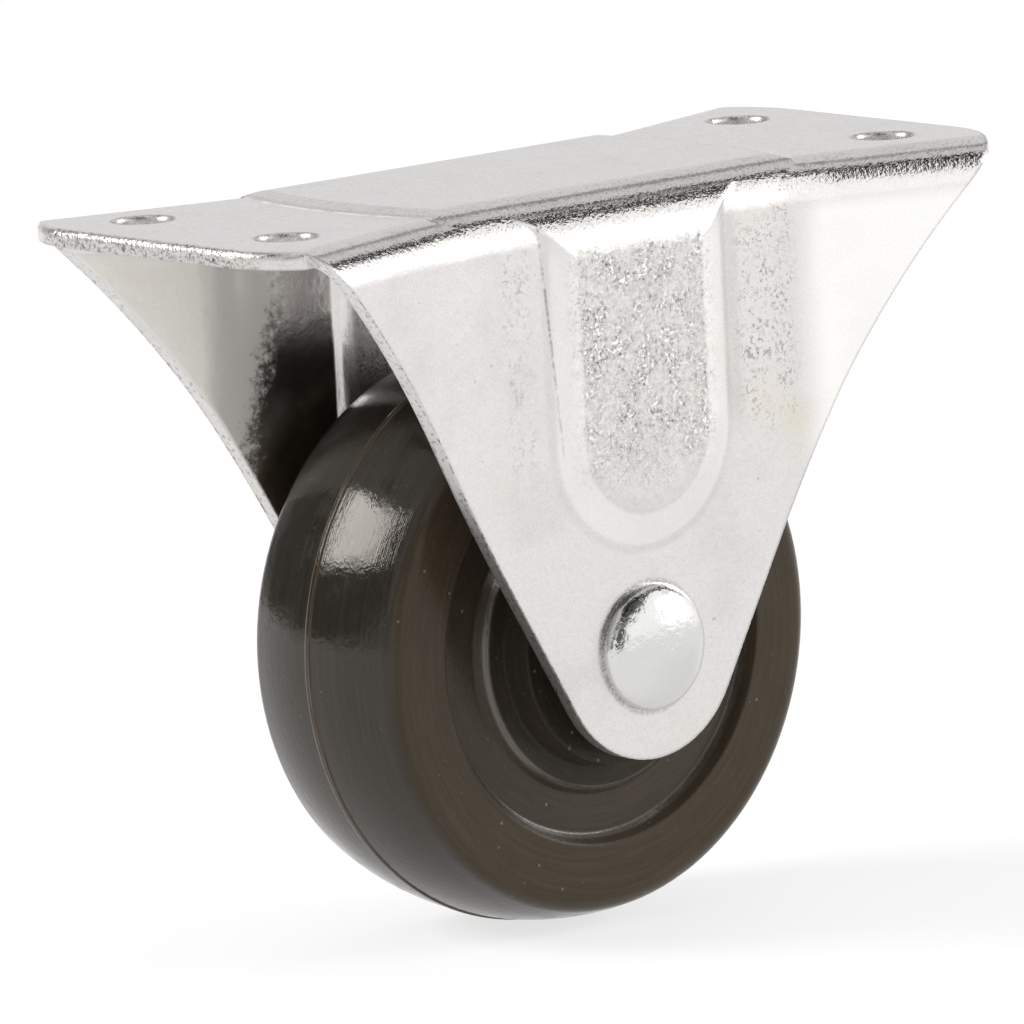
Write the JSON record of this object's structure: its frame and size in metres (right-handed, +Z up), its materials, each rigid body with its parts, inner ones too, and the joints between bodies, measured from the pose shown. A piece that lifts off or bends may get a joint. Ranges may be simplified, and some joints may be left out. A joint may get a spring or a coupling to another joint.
{
  "type": "fixed plate castor",
  "caption": "Fixed plate castor: a pressed steel fork under a screw-on top plate holds a plain rubber wheel on a riveted axle.",
  "frame": {"origin": "middle of the raised mounting face on top of the plate", "axes": "+X along the plate, in the rolling direction; +Y along the axle, from the formed head to the upset tail; +Z up, out of the mounting face"},
  "size_m": [0.0834, 0.0388, 0.0655],
  "materials": {
    "zinc_plate": "bright zinc plating, slightly grainy where the sheet was formed",
    "wheel_rubber": "moulded, satin",
    "sleeve_steel": "drawn tube, plain",
    "rivet_steel": "bright plated"
  },
  "bodies": {
    "bracket": {"fork": "zinc_plate", "axle_sleeve": "sleeve_steel", "axle_rivet": "rivet_steel"},
    "wheel": {"wheel": "wheel_rubber"}
  },
  "joints": [
    {"name": "wheel_spin", "type": "hinge", "parent": "bracket", "child": "wheel", "pos_m": [0, 0, -0.0401], "axis": [0, 1, 0], "continuous": true}
  ]
}
